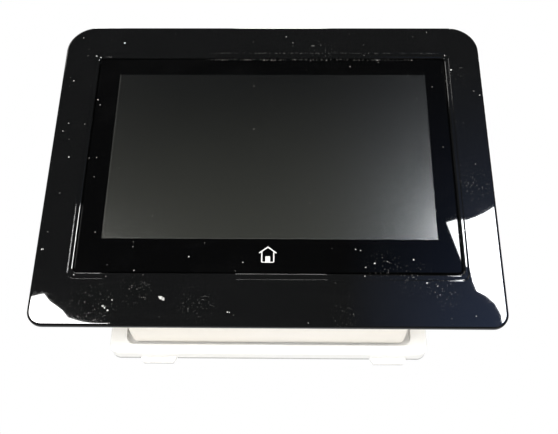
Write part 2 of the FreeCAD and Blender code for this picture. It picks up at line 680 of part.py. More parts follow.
def latch_guides(x):
    """Side rails with lips, and the stop that the latch spring pushes against."""
    solids = [box(x - 4, x + 4, FLOOR_BACK, 0, SPRING_STOP_Z, SPRING_STOP_Z + 2)]
    inner = LATCH_HALF + RAIL_GAP
    for side in (-1, 1):
        rail = sorted((x + side * inner, x + side * (inner + RAIL_WALL)))
        lip = sorted((x + side * (inner - RAIL_LIP), x + side * (inner + RAIL_WALL)))
        solids.append(box(*rail, FLOOR_BACK, 0, -55.0, -34.0))
        solids.append(box(*lip, -0.4, 0, -50.0, -40.0))
    return solids


def wall_plate():
    """White tray on the wall: rounded rim, a pocket for the housing, hooks, ribs and holes."""
    front = at(PLATE_FRONT_DEPTH)
    outer = prism(PLATE, front, 0, PLATE_RADIUS)
    outer = outer.makeFillet(1.2, front_edges(outer, front))
    hollow = prism(grown(PLATE, -WALL), front + PLATE_SKIN, 1, PLATE_RADIUS - WALL)
    shell = outer.cut(hollow)
    side, top = POCKET[1] + INNER_SKIRT, POCKET[3] + INNER_SKIRT
    skirt = prism((-side, side, PLATE_BOTTOM + 1, top), front + 1, FLOOR_BACK, POCKET_RADIUS + INNER_SKIRT)
    shell = joined([shell, skirt])
    pocket = prism(POCKET, front - 1, FLOOR_FRONT, POCKET_RADIUS)
    shell = shell.cut(pocket)

    inner = grown(PLATE, -WALL)
    solids = [
        box(inner[0] - 0.5, inner[1] + 0.5, FLOOR_BACK, 0, -1, 1),
        box(-1, 1, FLOOR_BACK, 0, inner[2] - 0.5, 0),
        box(-1, 1, FLOOR_BACK, 0, 36, inner[3] + 0.5),
    ]
    solids += [rod_y(x, z, BOSS_R, FLOOR_BACK, 0) for x, z in WALL_SCREWS + GANG_SCREWS]
    solids.append(rod_y(0, 0, BOSS_R, FLOOR_BACK, 0))
    for x in (-PIVOT_X, PIVOT_X):
        solids.append(hook(x))
    for x in LATCH_XS:
        solids += latch_guides(x)
    shell = joined([shell] + solids)

    cuts = [slab(WIRE_OPENING, FLOOR_FRONT - 1, 1)]
    cuts += [rod_y(x, z, SCREW_HOLE_R, FLOOR_FRONT - 1, 1) for x, z in WALL_SCREWS + GANG_SCREWS]
    cuts.append(rod_y(TAMPER_X, TAMPER_Z, 4.0, FLOOR_FRONT - 1, 1))
    half_tab = TAB_ROOT_HALF + 0.4
    for x in LATCH_XS:
        slot = (x - LATCH_SLOT_HALF, x + LATCH_SLOT_HALF, -50.2, -42.0)
        cuts.append(slab(slot, FLOOR_FRONT - 1, FLOOR_BACK + 1))
        cuts.append(box(x - half_tab, x + half_tab, FLOOR_BACK, 1, PLATE_BOTTOM - 1, PLATE_BOTTOM + WALL))
    return shell.cut(cuts)


def bumper_pads():
    """Soft feet on the plate's floor that keep the housing from rattling."""
    return [rod_y(x, z, 4.0, FLOOR_FRONT - 1.8, FLOOR_FRONT) for x, z in BUMPERS]


def release_latch(x):
    """Finger tab below the plate, sliding plate, and a hooked nose that holds the housing."""
    plate = box(x - LATCH_HALF, x + LATCH_HALF, LATCH_FRONT, LATCH_BACK, LATCH_BOTTOM, LATCH_TOP)
    tab = extruded(
        [
            (x - TAB_ROOT_HALF, LATCH_FRONT, LATCH_BOTTOM + 1),
            (x - TAB_ROOT_HALF, LATCH_FRONT, PLATE_BOTTOM - 0.6),
            (x - TAB_TIP_HALF, LATCH_FRONT, TAB_TIP_Z),
            (x + TAB_TIP_HALF, LATCH_FRONT, TAB_TIP_Z),
            (x + TAB_ROOT_HALF, LATCH_FRONT, PLATE_BOTTOM - 0.6),
            (x + TAB_ROOT_HALF, LATCH_FRONT, LATCH_BOTTOM + 1),
        ],
        (0, LATCH_BACK - LATCH_FRONT, 0),
    )
    nose = extruded(
        [
            (x - NOSE_HALF, LATCH_FRONT + 1, NOSE_TOP),
            (x - NOSE_HALF, LATCH_FRONT + 1, NOSE_BOTTOM),
            (x - NOSE_HALF, CATCH_Y, NOSE_BOTTOM),
            (x - NOSE_HALF, CATCH_Y, NOSE_BOTTOM - CATCH_DROP),
            (x - NOSE_HALF, CATCH_Y - 0.5, NOSE_BOTTOM - CATCH_DROP),
            (x - NOSE_HALF, NOSE_TIP_Y, NOSE_BOTTOM - 0.2),
            (x - NOSE_HALF, NOSE_TIP_Y, NOSE_TOP),
        ],
        (2 * NOSE_HALF, 0, 0),
    )
    return joined([plate, tab, nose])


def latch_spring(x):
    """Coil spring above a latch, as a sleeve of its outer and inner size."""
    y = (LATCH_FRONT + LATCH_BACK) / 2
    z0, z1 = LATCH_TOP + 0.05, SPRING_STOP_Z - 0.05
    return ring(rod_z(x, y, z0, z1, LATCH_SPRING_R), rod_z(x, y, z0 - 1, z1 + 1, LATCH_SPRING_BORE_R))


def main():
    os.makedirs("parts", exist_ok=True)
    glass, backlight, bracket = screen_pieces()
    gasket, driver, speaker_box = speaker_pieces()
    foot_front = at(BEZEL_RIM_DEPTH + BRACKET_STEEL)
    bracket_screws = [screw(x, z, BRACKET_SCREW, foot_front, at(3.0)) for x, z in BRACKET_SCREWS]
    board_screws = [screw(x, z, BOARD_SCREW, BOARD_FRONT, -13.0) for x, z in BOARD_POSTS]
    nodes = {
        "front_bezel": [front_bezel()],
        "cover_lens": [cover_lens()],
        "home_icon": [home_icon()],
        "lens_tape": [lens_tape()],
        "touch_sensor": [touch_sensor()],
        "display_glass": [glass],
        "backlight_tray": [backlight],
        "screen_bracket": [bracket],
        "bracket_screws": bracket_screws,
        "rear_housing": [rear_housing()],
        "housing_screws": housing_screws(),
        "main_board": [main_board()],
        "board_screws": board_screws,
        "processor_shield": [processor_shield()],
        "board_chips": board_chips(),
        "terminal_block": [terminal_block()],
        "terminal_screws": terminal_screws(),
        "radio_module": [radio_module()],
        "radio_antenna": [radio_antenna()],
        "ribbon_connector": [ribbon_connector()],
        "display_ribbon": [display_ribbon()],
        "piezo_sounder": [piezo_sounder()],
        "tamper_switch": [tamper_switch()],
        "tamper_plunger": [tamper_plunger()],
        "tamper_spring": [tamper_spring()],
        "backup_battery": [backup_battery()],
        "battery_pad": [battery_pad()],
        "battery_plug": [battery_plug()],
        "battery_lead": battery_lead(),
        "speaker_gasket": [gasket],
        "speaker_driver": [driver],
        "speaker_box": [speaker_box],
        "pivot_pins": pivot_pins(),
        "wall_plate": [wall_plate()],
        "bumper_pads": bumper_pads(),
        "release_latch_right": [release_latch(LATCH_RIGHT_X)],
        "release_latch_left": [release_latch(LATCH_LEFT_X)],
        "latch_spring_right": [latch_spring(LATCH_RIGHT_X)],
        "latch_spring_left": [latch_spring(LATCH_LEFT_X)],
    }
    for name, solids in nodes.items():
        save(name, solids)
        for solid in solids:
            if not solid.isValid() or len(solid.Solids) != 1:
                print(name, "valid", solid.isValid(), "solids", len(solid.Solids))
    print(len(nodes), "nodes")


main()
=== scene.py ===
import math

import bmesh
import bpy
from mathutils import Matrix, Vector


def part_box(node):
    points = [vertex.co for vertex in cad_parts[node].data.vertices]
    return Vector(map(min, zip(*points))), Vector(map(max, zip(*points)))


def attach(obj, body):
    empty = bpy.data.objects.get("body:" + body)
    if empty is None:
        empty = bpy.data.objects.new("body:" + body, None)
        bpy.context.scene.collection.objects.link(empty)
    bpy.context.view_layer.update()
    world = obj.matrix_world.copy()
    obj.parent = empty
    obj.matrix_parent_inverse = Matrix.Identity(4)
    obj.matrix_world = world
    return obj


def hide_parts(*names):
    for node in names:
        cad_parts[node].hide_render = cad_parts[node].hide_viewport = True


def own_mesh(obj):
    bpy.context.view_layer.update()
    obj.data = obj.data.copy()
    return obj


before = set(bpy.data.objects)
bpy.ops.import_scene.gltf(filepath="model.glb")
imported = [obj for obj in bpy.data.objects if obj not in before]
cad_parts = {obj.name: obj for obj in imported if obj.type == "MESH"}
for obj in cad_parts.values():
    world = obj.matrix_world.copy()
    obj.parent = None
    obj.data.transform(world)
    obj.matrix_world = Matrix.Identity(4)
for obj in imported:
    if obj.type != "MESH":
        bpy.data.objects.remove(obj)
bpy.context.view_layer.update()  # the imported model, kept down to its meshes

MM = 0.001
ARC_STEPS = 12  # segments in each rounded corner
FILLET_STEPS = 6  # segments in each rounded edge
SHARP_ANGLE = 32  # degrees; an edge that turns more than this is crisp
COIL_STEPS = 20  # points in each turn of a spring

# The front frame and its lens, in millimetres. Depths are behind the frame's front face.
FRAME_RADII = (7.0, 14.5)  # bottom and top corners
FRAME_THICKNESS = 2.2
FRAME_EDGE_RADIUS = 0.7
BACK_EDGE_RADIUS = 0.25
GROOVE_BEYOND_LENS = (2.4, 3.4, 3.25)  # sides, bottom and top
GROOVE_RADIUS = 3.2
GROOVE_DEPTH = 0.35
GROOVE_LIP = 0.25
GROOVE_FOOT = 0.1
WELL_GAP = 0.35
WELL_EDGE_RADIUS = 0.8
LENS_RADIUS = 2.0
LENS_EDGE = ((0.0, 0.62), (0.1, 0.42), (0.3, 0.2), (0.55, 0.0))  # (inset, depth)
LENS_SEAT = 2.6
SEAT_LEDGE = 4.0
RIM_BACK = 4.2
SCREEN_MARGINS = (6.55, 5.65, 5.55, 3.2)  # left, right, bottom and top, inside the display glass
PLATE_RADIUS = 4.5


# ---------------------------------------------------------------- meshes
def rect_of(node):
    """A node's outline seen from the front: (x0, x1, z0, z1), in metres."""
    low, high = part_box(node)
    return (low.x, high.x, low.z, high.z)


def grown(rect, side, bottom=None, top=None):
    """The rectangle with its sides moved out by these millimetres."""
    bottom = side if bottom is None else bottom
    top = bottom if top is None else top
    return (rect[0] - side * MM, rect[1] + side * MM, rect[2] - bottom * MM, rect[3] + top * MM)


def rounded_ring(rect, y, bottom_r, top_r):
    """Points of a rounded rectangle in the plane y, counter-clockwise as seen from the front."""
    x0, x1, z0, z1 = rect
    bottom_r, top_r = bottom_r * MM, top_r * MM
    corners = (
        (x1 - bottom_r, z0 + bottom_r, bottom_r, -90),
        (x1 - top_r, z1 - top_r, top_r, 0),
        (x0 + top_r, z1 - top_r, top_r, 90),
        (x0 + bottom_r, z0 + bottom_r, bottom_r, 180),
    )
    points = []
    for x, z, r, start in corners:
        for i in range(ARC_STEPS + 1):
            a = math.radians(start + 90 * i / ARC_STEPS)
            points.append(Vector((x + r * math.cos(a), y, z + r * math.sin(a))))
    return points


def new_object(name, mesh):
    obj = bpy.data.objects.new(name, mesh)
    bpy.context.scene.collection.objects.link(obj)
    return obj


def finished(bm, name, smooth_angle=SHARP_ANGLE):
    """Turns a bmesh into an object, with smooth faces and sharp edges above the angle."""
    bmesh.ops.remove_doubles(bm, verts=bm.verts, dist=1e-7)
    bmesh.ops.recalc_face_normals(bm, faces=bm.faces)
    limit = math.radians(smooth_angle)
    for face in bm.faces:
        face.smooth = True
    for edge in bm.edges:
        edge.smooth = len(edge.link_faces) == 2 and edge.calc_face_angle(0) < limit
    mesh = bpy.data.meshes.new(name)
    bm.to_mesh(mesh)
    bm.free()
    return new_object(name, mesh)


def loft(bm, rings, closed=False, cap_first=False):
    """Skins a list of point rings of equal length, and returns their rows of vertices."""
    rows = [[bm.verts.new(p) for p in ring] for ring in rings]
    pairs = list(zip(rows, rows[1:]))
    if closed:
        pairs.append((rows[-1], rows[0]))
    count = len(rows[0])
    for a, b in pairs:
        for i in range(count):
            j = (i + 1) % count
            bm.faces.new((a[i], a[j], b[j], b[i]))
    if cap_first:
        bm.faces.new(rows[0])
    return rows


def quarter(steps=FILLET_STEPS):
    """(inset, depth) pairs along a rounded edge of radius 1, from the side wall to the front face."""
    turns = [math.pi / 2 * i / steps for i in range(steps + 1)]
    return [(1 - math.cos(t), 1 - math.sin(t)) for t in turns]


def weighted(obj):
    """Lets the large faces set the normals, so that flat faces stay flat beside small fillets."""
    modifier = obj.modifiers.new("normals", "WEIGHTED_NORMAL")
    modifier.keep_sharp = True
    modifier.weight = 100


def softened(node, width):
    """A copy of a CAD node with every crisp edge rounded by width millimetres; it replaces the node."""
    limit = math.radians(SHARP_ANGLE)
    bm = bmesh.new()
    bm.from_mesh(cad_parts[node].data)
    bmesh.ops.remove_doubles(bm, verts=bm.verts, dist=2e-6)
    bmesh.ops.dissolve_limit(bm, angle_limit=math.radians(0.6), verts=bm.verts, edges=bm.edges)
    sharp = [e for e in bm.edges if len(e.link_faces) == 2 and e.calc_face_angle(0) > limit]
    bmesh.ops.bevel(
        bm, geom=sharp, offset=width * MM, segments=2, profile=0.5, affect="EDGES",
        clamp_overlap=True, harden_normals=False,
    )
    obj = finished(bm, node + "_shell")
    weighted(obj)
    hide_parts(node)
    return obj


def coil(name, centre, axis, radius, wire_r, length, turns):
    """A compression spring with closed ends that starts at centre and runs along axis."""
    steps = int(turns * COIL_STEPS)
    side = axis.orthogonal().normalized()
    other = axis.cross(side)
    curve = bpy.data.curves.new(name, "CURVE")
    curve.dimensions = "3D"
    curve.bevel_depth = wire_r
    curve.bevel_resolution = 3
    curve.use_fill_caps = True
    spline = curve.splines.new("POLY")
    spline.points.add(steps)
    closed_turns = 1.0
    dead = closed_turns * 2.05 * wire_r
    for i in range(steps + 1):
        t = turns * i / steps
        if t < closed_turns:
            rise = dead * t / closed_turns
        elif t > turns - closed_turns:
            rise = length - 2 * wire_r - dead * (turns - t) / closed_turns
        else:
            share = (t - closed_turns) / (turns - 2 * closed_turns)
            rise = dead + share * (length - 2 * wire_r - 2 * dead)
        a = 2 * math.pi * t
        p = centre + axis * (wire_r + rise) + (side * math.cos(a) + other * math.sin(a)) * radius
        spline.points[i].co = (*p, 1)
    source = new_object(name + "_line", curve)
    depsgraph = bpy.context.evaluated_depsgraph_get()
    mesh = bpy.data.meshes.new_from_object(source.evaluated_get(depsgraph))
    bpy.data.objects.remove(source)
    mesh.name = name
    obj = new_object(name, mesh)
    for polygon in mesh.polygons:
        polygon.use_smooth = True
    return obj


# ---------------------------------------------------------------- materials
class Shade:
    """Builds one node material around a Principled shader. Lengths in object space are metres."""

    def __init__(self, name, roughness=0.5, **constants):
        self.material = bpy.data.materials.new(name)
        self.material.use_nodes = True
        self.tree = self.material.node_tree
        self.shader = self.tree.nodes["Principled BSDF"]
        self.shader.inputs["Roughness"].default_value = roughness
        for socket, value in constants.items():
            self.shader.inputs[socket.replace("_", " ")].default_value = value
        self.place = self.node("ShaderNodeTexCoord").outputs["Object"]

    def node(self, kind, inputs=None, **settings):
        node = self.tree.nodes.new(kind)
        for key, value in settings.items():
            setattr(node, key, value)
        for key, value in (inputs or {}).items():
            if isinstance(value, bpy.types.NodeSocket):
                self.tree.links.new(value, node.inputs[key])
            else:
                node.inputs[key].default_value = value
        return node

    def set(self, socket, value):
        self.tree.links.new(value, self.shader.inputs[socket])

    def math(self, operation, a, b=0.0, clamp=False):
        node = self.node("ShaderNodeMath", {0: a, 1: b}, operation=operation, use_clamp=clamp)
        return node.outputs[0]

    def vector(self, operation, *values):
        return self.node("ShaderNodeVectorMath", dict(enumerate(values)), operation=operation)

    def noise(self, scale, detail=3.0, place=None, distortion=0.0):
        inputs = {
            "Vector": place or self.place,
            "Scale": scale,
            "Detail": detail,
            "Roughness": 0.55,
            "Distortion": distortion,
        }
        return self.node("ShaderNodeTexNoise", inputs).outputs["Fac"]

    def step(self, value, low, high, out_low=0.0, out_high=1.0):
        """Smoothly takes value from low..high to out_low..out_high."""
        inputs = {
            "Value": value,
            "From Min": low,
            "From Max": high,
            "To Min": out_low,
            "To Max": out_high,
        }
        return self.node("ShaderNodeMapRange", inputs, interpolation_type="SMOOTHSTEP").outputs[0]

    def mix(self, share, a, b):
        node = self.node("ShaderNodeMix", {0: share, 6: a, 7: b}, data_type="RGBA")
        return node.outputs[2]

    def stretched(self, scale):
        return self.node("ShaderNodeMapping", {"Vector": self.place, "Scale": scale}).outputs[0]

    def bump(self, height, strength, distance):
        inputs = {"Height": height, "Strength": strength, "Distance": distance}
        self.set("Normal", self.node("ShaderNodeBump", inputs).outputs[0])

    def front_place(self, scale):
        """Coordinates across the front face only, so that specks don't depend on depth."""
        parts = self.node("ShaderNodeSeparateXYZ", {0: self.place})
        across = self.math("MULTIPLY", parts.outputs["X"], scale)
        up = self.math("MULTIPLY", parts.outputs["Z"], scale)
        return self.node("ShaderNodeCombineXYZ", {0: across, 1: up}).outputs[0]

    def specks(self, spacing_mm, size, share, place=None):
        """Round specks: one possible speck per cell, in a share of the cells."""
        place = place or self.front_place(1000 / spacing_mm)
        inputs = {"Vector": place, "Scale": 1.0}
        cells = self.node("ShaderNodeTexVoronoi", inputs, voronoi_dimensions="2D")
        parts = self.node("ShaderNodeSeparateColor", {0: cells.outputs["Color"]})
        chosen = self.math("LESS_THAN", parts.outputs[0], share)
        radius = self.math("MULTIPLY", parts.outputs[1], size)
        near = self.math("LESS_THAN", cells.outputs["Distance"], radius)
        strength = self.math("MULTIPLY", near, self.step(parts.outputs[2], 0.0, 1.0, 0.25, 1.0))
        return self.math("MULTIPLY", chosen, strength)

    def hairs(self, spacing_mm, width, share, turn):
        """Short thin strokes, all within a few degrees of one direction."""
        turned = self.node("ShaderNodeMapping", {"Vector": self.front_place(1000 / spacing_mm)})
        turned.inputs["Rotation"].default_value = (0, 0, turn)
        turned.inputs["Scale"].default_value = (0.16, 1.0, 1.0)
        return self.specks(spacing_mm, width, share, place=turned.outputs[0])

    def rim(self, outline, radius, depth):
        """Mask for painted shade: 1 on a rounded plate's outer edge nearest the wall, a painted contact
        shadow, and fainter on its side walls; metres.
        """
        x0, x1, z0, z1 = outline
        parts = self.node("ShaderNodeSeparateXYZ", {0: self.place})
        over = []
        for axis, low, high in (("X", x0, x1), ("Z", z0, z1)):
            off = self.math("ABSOLUTE", self.math("SUBTRACT", parts.outputs[axis], (low + high) / 2))
            over.append(self.math("SUBTRACT", off, (high - low) / 2 - radius))
        near = self.node("ShaderNodeCombineXYZ", {i: self.math("MAXIMUM", over[i], 0.0) for i in (0, 1)})
        length = self.vector("LENGTH", near.outputs[0])
        outside = self.step(length.outputs["Value"], radius - 0.0006, radius - 0.0003)
        side = self.step(over[0], radius - 0.0005, radius - 0.0003)
        back = self.step(parts.outputs["Y"], -depth - 0.0003, -depth)
        side = self.math("MULTIPLY", side, SIDE_SHADE_SHARE)
        return self.math("MULTIPLY", outside, self.math("MAXIMUM", side, back))

    def largest(self, values):
        total = values[0]
        for value in values[1:]:
            total = self.math("MAXIMUM", total, value)
        return total

    def around(self, places, softness=1.0):
        """1 near each (x, z, radius) in millimetres on the front, falling to 0 at the radius."""
        here = self.front_place(1000)
        ragged = self.node("ShaderNodeTexNoise", {"Vector": here, "Scale": 1.3, "Detail": 2.0})
        middle = (0.5, 0.5, 0.5)
        shifted = self.vector("SUBTRACT", ragged.outputs["Color"], middle)
        warped = self.vector("MULTIPLY_ADD", shifted.outputs[0], (0.9, 0.9, 0), here)
        spots = []
        for x, z, radius in places:
            gap = self.vector("DISTANCE", warped.outputs[0], (x, z, 0))
            spots.append(self.step(gap.outputs["Value"], radius, radius * (1 - softness)))
        return self.largest(spots)

    def strip(self, x0, x1, z, half):
        """1 inside a thin level strip on the front, in millimetres."""
        parts = self.node("ShaderNodeSeparateXYZ", {0: self.front_place(1000)})
        start = self.step(parts.outputs[0], x0, x0 + 8)
        end = self.step(parts.outputs[0], x1, x1 - 8)
        along = self.math("MULTIPLY", start, end)
        off = self.math("ABSOLUTE", self.math("SUBTRACT", parts.outputs[1], z))
        return self.math("MULTIPLY", along, self.math("LESS_THAN", off, half))


# Chips, dried drops and dusty patches on the front: (x, z, radius) in millimetres.
CHIPS = [
    (-75.5, 96.5, 0.45), (-89.1, 88.2, 0.4), (-86.9, 87.6, 0.3), (-98.9, 72.7, 0.35),
    (-98.4, 47.6, 0.35), (-90.4, 47.1, 0.25), (-96.0, 28.3, 0.35), (-85.7, 61.8, 0.3),
    (-84.4, 58.8, 0.3), (-97.8, 8.7, 0.3), (-102.2, -20.1, 0.4), (-101.5, -20.2, 0.3),
    (-46.6, -43.3, 0.9), (-45.5, -43.9, 0.8), (-47.2, -43.0, 0.5), (-35.5, -23.2, 0.35),
    (-11.1, -26.0, 0.3), (-71.7, -47.4, 0.5), (-70.8, -48.2, 0.4), (-69.3, -49.2, 0.55),
    (-68.0, -44.5, 0.3), (-17.0, -49.8, 0.35), (-16.2, -49.9, 0.3), (39.5, -19.3, 0.3),
    (41.8, -19.8, 0.25), (47.8, -26.2, 0.4), (53.6, -25.2, 0.3), (43.7, -28.1, 0.3), (65.3, -24.1, 0.4),
    (70.3, -35.7, 0.35), (75.0, -37.1, 0.3), (87.7, 89.1, 0.35), (90.0, 79.8, 0.35), (103.0, 64.6, 0.3),
    (89.2, -9.6, 0.3),
]
DUSTY_PLACES = [
    (-76, -48, 17), (-58, -40, 12), (-31, -46, 13), (34, -51, 9), (52, -28, 12),
    (66, -34, 12), (78, -40, 12), (90, 76, 10), (26, 92, 10), (97, 14, 12),
]
# Dust caught along the top of the well, and a painted highlight in specks along the top of the groove:
# (x0, x1, z, half width) in millimetres.
WELL_DUST = (-34, 78, 86.5, 0.4)
LIP_HIGHLIGHT = (-34, 88, 90.2, 0.15)

# colour of dust, also used for the painted highlight on the groove's top lip
DUST_AND_HIGHLIGHT_COLOUR = (0.58, 0.57, 0.54, 1)
SCREEN_TOP = (0.0012, 0.0013, 0.0008, 1)
# painted glow of reflected light at the screen's foot
SCREEN_FOOT_GLOW = (0.0205, 0.0212, 0.0168, 1)
SCREEN_LINE = (0.045, 0.046, 0.042, 1)
SCREEN_DUST = (0.25, 0.24, 0.22, 1)
EDGE_SHADE = 0.9  # painted shade: how dark the plate's rim is made beside its face, a painted contact shadow at the wall
SIDE_SHADE_SHARE = 0.3  # painted shade on the plate's side walls, as a share of the rim's


def dust_and_highlight_mask(s, dust_share):
    """1 on dust, hair scuffs, chips, dried drops and the painted highlight on the groove's top lip; 0 on
    clean gloss.
    """
    dusty = s.around(DUSTY_PLACES)
    fine = s.math("MULTIPLY", s.specks(0.8, 0.2, 0.26), s.step(dusty, 0.0, 1.0, 0.0, 0.55))
    loose = s.specks(3.6, 0.07, dust_share)
    large = s.specks(10.0, 0.03, dust_share * 1.6)
    hairs = s.math("MAXIMUM", s.hairs(5.0, 0.03, 0.3, 1.45), s.hairs(6.0, 0.028, 0.26, -0.6))
    hairs = s.math("MULTIPLY", hairs, s.step(dusty, 0.0, 0.5))
    dust = s.largest([fine, loose, large, s.around(CHIPS, 0.3), s.math("MULTIPLY", hairs, 0.5)])
    well_dust = s.math("MULTIPLY", s.strip(*WELL_DUST), s.specks(0.7, 0.45, 0.7))
    # painted highlight along the groove's top lip, broken into specks
    lip_highlight = s.math("MULTIPLY", s.strip(*LIP_HIGHLIGHT), s.specks(0.6, 0.5, 0.7))
    edge_dust_and_highlight = s.math("MAXIMUM", well_dust, s.math("MULTIPLY", lip_highlight, 0.3))
    dust = s.math("MAXIMUM", dust, edge_dust_and_highlight)
    grit = s.step(s.noise(1500, 2), 0.3, 0.6, 0.3, 1.0)
    return s.math("MULTIPLY", dust, grit, clamp=True)


def gloss_black(name, base, roughness, dust_share, smears=0.0, specular=0.5):
    """Polished black surface with dust, fine scuffs, worn chips, finger haze and a painted highlight
    along the groove's top lip.
    """
    s = Shade(name, roughness, Specular_IOR_Level=specular, IOR=1.5)
    # dust, chips and scuffs, together with the painted highlight on the groove's top lip
    dust = dust_and_highlight_mask(s, dust_share)
    haze = s.step(s.noise(30, 4, distortion=1.2), 0.45, 0.8)
    wiped = s.step(s.noise(1.0, 4, place=s.stretched((12, 1, 160))), 0.5, 0.8)
    haze = s.math("MAXIMUM", s.math("MULTIPLY", haze, 0.6), s.math("MULTIPLY", wiped, smears))
    hazy = tuple(b + 0.0015 for b in base) + (1,)
    black = s.mix(haze, (*base, 1), hazy)
    s.set("Base Color", s.mix(dust, black, DUST_AND_HIGHLIGHT_COLOUR))
    rough = s.math("ADD", s.math("MULTIPLY", haze, 0.03), roughness)
    s.set("Roughness", s.math("ADD", rough, s.math("MULTIPLY", dust, 0.5), clamp=True))
    ripple = s.math("MULTIPLY", s.noise(9, 1), 0.6)
    s.bump(s.math("ADD", ripple, s.math("MULTIPLY", dust, 0.05)), 0.1, 0.0003)
    return s.material


def display_window(name, rect):
    """Switched-off screen: a dull grey layer deep under the polished lens, made paler towards its foot
    by a painted glow of reflected light.
    """
    s = Shade(name, 0.2, Specular_IOR_Level=0.72, IOR=1.5, Coat_Weight=1.0, Coat_Roughness=0.02)
    x0, _, z0, z1 = rect
    parts = s.node("ShaderNodeSeparateXYZ", {0: s.place})
    rise = s.node("ShaderNodeMapRange", {"Value": parts.outputs["Z"], "From Min": z0, "From Max": z1})
    cloud = s.noise(12, 2)
    grain = s.noise(1400, 1)
    # painted reflection: the screen's tone grows paler towards its foot
    height = s.math("POWER", s.math("SUBTRACT", 1.0, rise.outputs[0]), 1.3)
    tone = s.mix(height, SCREEN_TOP, SCREEN_FOOT_GLOW)
    tone = s.mix(s.step(cloud, 0.3, 0.75, 0.0, 0.1), tone, (0.012, 0.013, 0.010, 1))
    tone = s.mix(s.step(grain, 0.35, 0.65, 0.0, 0.12), tone, (0.010, 0.011, 0.011, 1))
    left = s.step(parts.outputs["X"], x0 + 0.0006, x0 + 0.0003)
    foot = s.step(parts.outputs["Z"], z0 + 0.0006, z0 + 0.0003)
    tone = s.mix(s.math("MULTIPLY", s.math("MAXIMUM", left, foot), 0.5), tone, SCREEN_LINE)
    dust = s.specks(9.0, 0.03, 0.12)
    s.set("Base Color", s.mix(dust, tone, SCREEN_DUST))
    s.set("Roughness", s.step(cloud, 0.2, 0.8, 0.195, 0.215))
    return s.material


def moulded(name, colour, roughness, grime, grain=0.12, edges=None):
    """Injection-moulded plastic: a fine spark-eroded grain, slight yellowing and handling marks.
    edges = (outline, corner radius, depth) adds painted shade: greyer sides and a painted contact shadow
    on the rim nearest the wall."""
    s = Shade(name, roughness, Specular_IOR_Level=0.45, IOR=1.49)
    cloud = s.step(s.noise(11, 3), 0.3, 0.75)
    aged = (colour[0] * 0.99, colour[1] * 0.978, colour[2] * 0.945, 1)
    tone = s.mix(cloud, (*colour, 1), aged)
    smudge = s.step(s.noise(55, 5, distortion=0.8), 0.62, 0.86)
    fleck = s.step(s.noise(700, 2), 0.72, 0.80)
    dirt_and_shade = s.math("MAXIMUM", s.math("MULTIPLY", smudge, 0.35), s.math("MULTIPLY", fleck, 0.6))
    dirt_and_shade = s.math("MULTIPLY", dirt_and_shade, grime)
    if edges:
        # painted shade on the rim and side walls, mixed in with the grime
        dirt_and_shade = s.math("MAXIMUM", dirt_and_shade, s.math("MULTIPLY", s.rim(*edges), EDGE_SHADE))
    s.set("Base Color", s.mix(dirt_and_shade, tone, tuple(c * 0.45 for c in colour) + (1,)))
    s.set("Roughness", s.step(cloud, 0.0, 1.0, roughness - 0.05, roughness + 0.07))
    s.bump(s.noise(2600, 2), grain, 0.00006)
    return s.material


def metal(name, colour, roughness, brushed=(1, 1, 1)):
    """Plated or ground metal with fine machining lines and dull patches."""
    s = Shade(name, roughness, Metallic=1.0)
    lines = s.noise(900, 3, place=s.stretched(brushed))
    dull = s.step(s.noise(60, 4), 0.45, 0.8)
    darker = tuple(c * 0.7 for c in colour) + (1,)
    s.set("Base Color", s.mix(dull, (*colour, 1), darker))
    s.set("Roughness", s.step(lines, 0.3, 0.7, roughness - 0.06, roughness + 0.1))
    s.bump(lines, 0.15, 0.00004)
    return s.material


def board_mask(name):
    """Green solder mask over fine copper tracks, with bare pads."""
    s = Shade(name, 0.32, Specular_IOR_Level=0.5, Coat_Weight=0.4, Coat_Roughness=0.15)
    inputs = {"Vector": s.front_place(220), "Scale": 1.0, "Mortar Size": 0.04}
    cells = s.node("ShaderNodeTexBrick", inputs, offset=0.37)
    track = s.math("MULTIPLY", cells.outputs["Fac"], s.step(s.noise(45, 1), 0.45, 0.5))
    pads = s.specks(3.2, 0.3, 0.35)
    tone = s.mix(track, (0.012, 0.085, 0.035, 1), (0.02, 0.15, 0.06, 1))
    s.set("Base Color", s.mix(pads, tone, (0.6, 0.58, 0.5, 1)))
    s.bump(track, 0.3, 0.00005)
    return s.material


def rubber(name, colour, roughness=0.75):
    s = Shade(name, roughness, Specular_IOR_Level=0.3)
    dusty = s.step(s.noise(120, 4), 0.45, 0.8)
    paler = tuple(min(1, c * 1.5 + 0.02) for c in colour) + (1,)
    s.set("Base Color", s.mix(dusty, (*colour, 1), paler))
    s.set("Roughness", s.step(dusty, 0, 1, roughness - 0.08, roughness + 0.1))
    s.bump(s.noise(1800, 3), 0.25, 0.00008)
    return s.material


def paint(obj, *materials):
    """Fills the material slots; a mesh with face regions keeps their numbers."""
    regions = [polygon.material_index for polygon in obj.data.polygons]
    obj.data.materials.clear()
    for material in materials:
        obj.data.materials.append(material)
    if len(materials) > 1:
        obj.data.polygons.foreach_set("material_index", regions)


